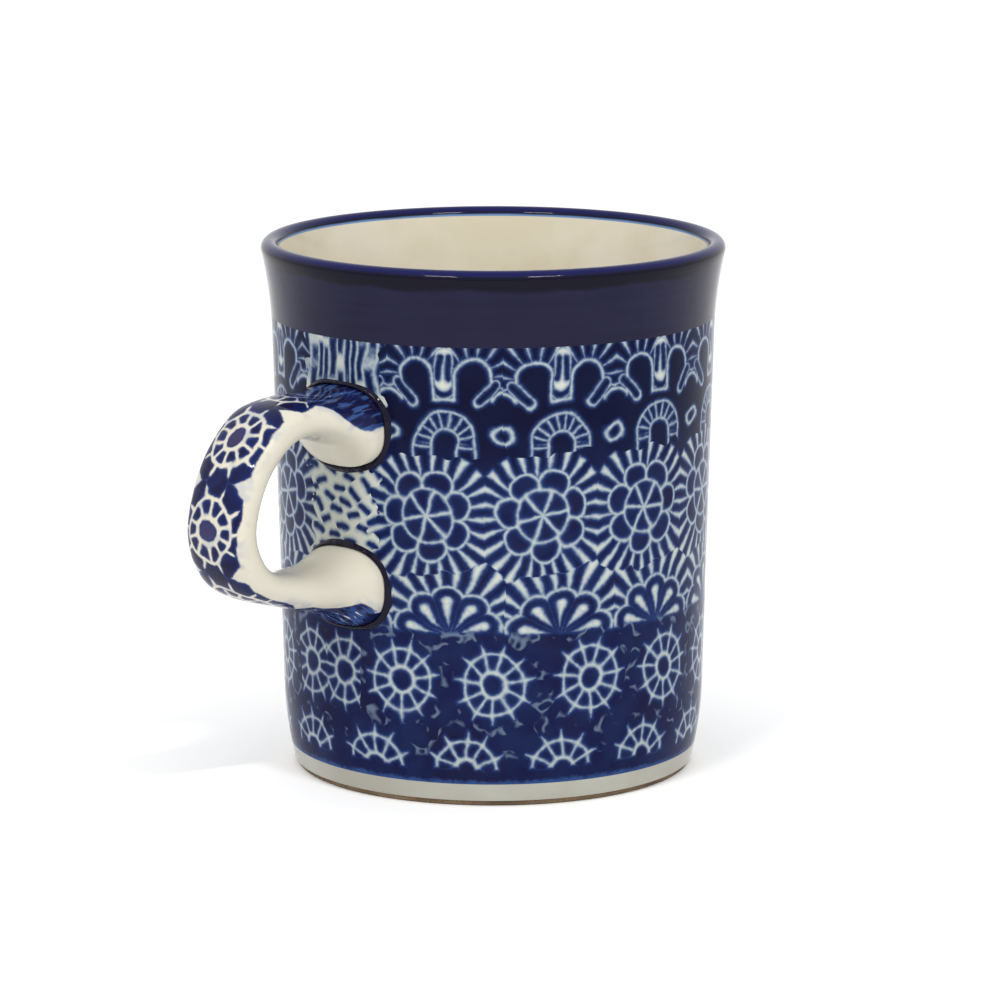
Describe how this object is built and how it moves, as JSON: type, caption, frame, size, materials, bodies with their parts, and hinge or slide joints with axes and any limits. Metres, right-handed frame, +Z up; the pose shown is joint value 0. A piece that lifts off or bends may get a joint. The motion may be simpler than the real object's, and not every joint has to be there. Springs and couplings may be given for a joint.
{
  "type": "mug",
  "caption": "Straight-sided stoneware mug with a flared rim, a plain dark rim band, stamped blue decoration on the wall and a pulled strap handle.",
  "frame": {"origin": "centre of the bare foot ring, on the plane the mug stands on", "axes": "+Z up the axis of the cup, handle along -X, +Y completes the right-handed frame"},
  "size_m": [0.109, 0.08, 0.092],
  "materials": {
    "bare_clay": "unglazed stoneware, fine grained and dry to the touch",
    "joint_slip": "dark slip under gloss glaze, pooled round the ends of the handle",
    "cream_glaze": "clear gloss glaze over off-white clay",
    "cobalt_band_glaze": "gloss glaze over a plain dark cobalt band",
    "stamped_wall_glaze": "gloss glaze over rows of hand-stamped cobalt blue flowers, arches and wheels on off-white",
    "stamped_handle_glaze": "gloss glaze, stamped cobalt blue wheels along the back and off-white sides"
  },
  "bodies": {
    "root": {"cup_body": "bare_clay", "handle_core": "bare_clay", "upper_slip_joint": "joint_slip", "lower_slip_joint": "joint_slip", "liner_glaze": "cream_glaze", "rim_band_glaze": "cobalt_band_glaze", "stamped_wall_glaze": "stamped_wall_glaze", "foot_strip_glaze": "cream_glaze", "underside_glaze": "cream_glaze", "handle_glaze": "stamped_handle_glaze"}
  },
  "joints": []
}
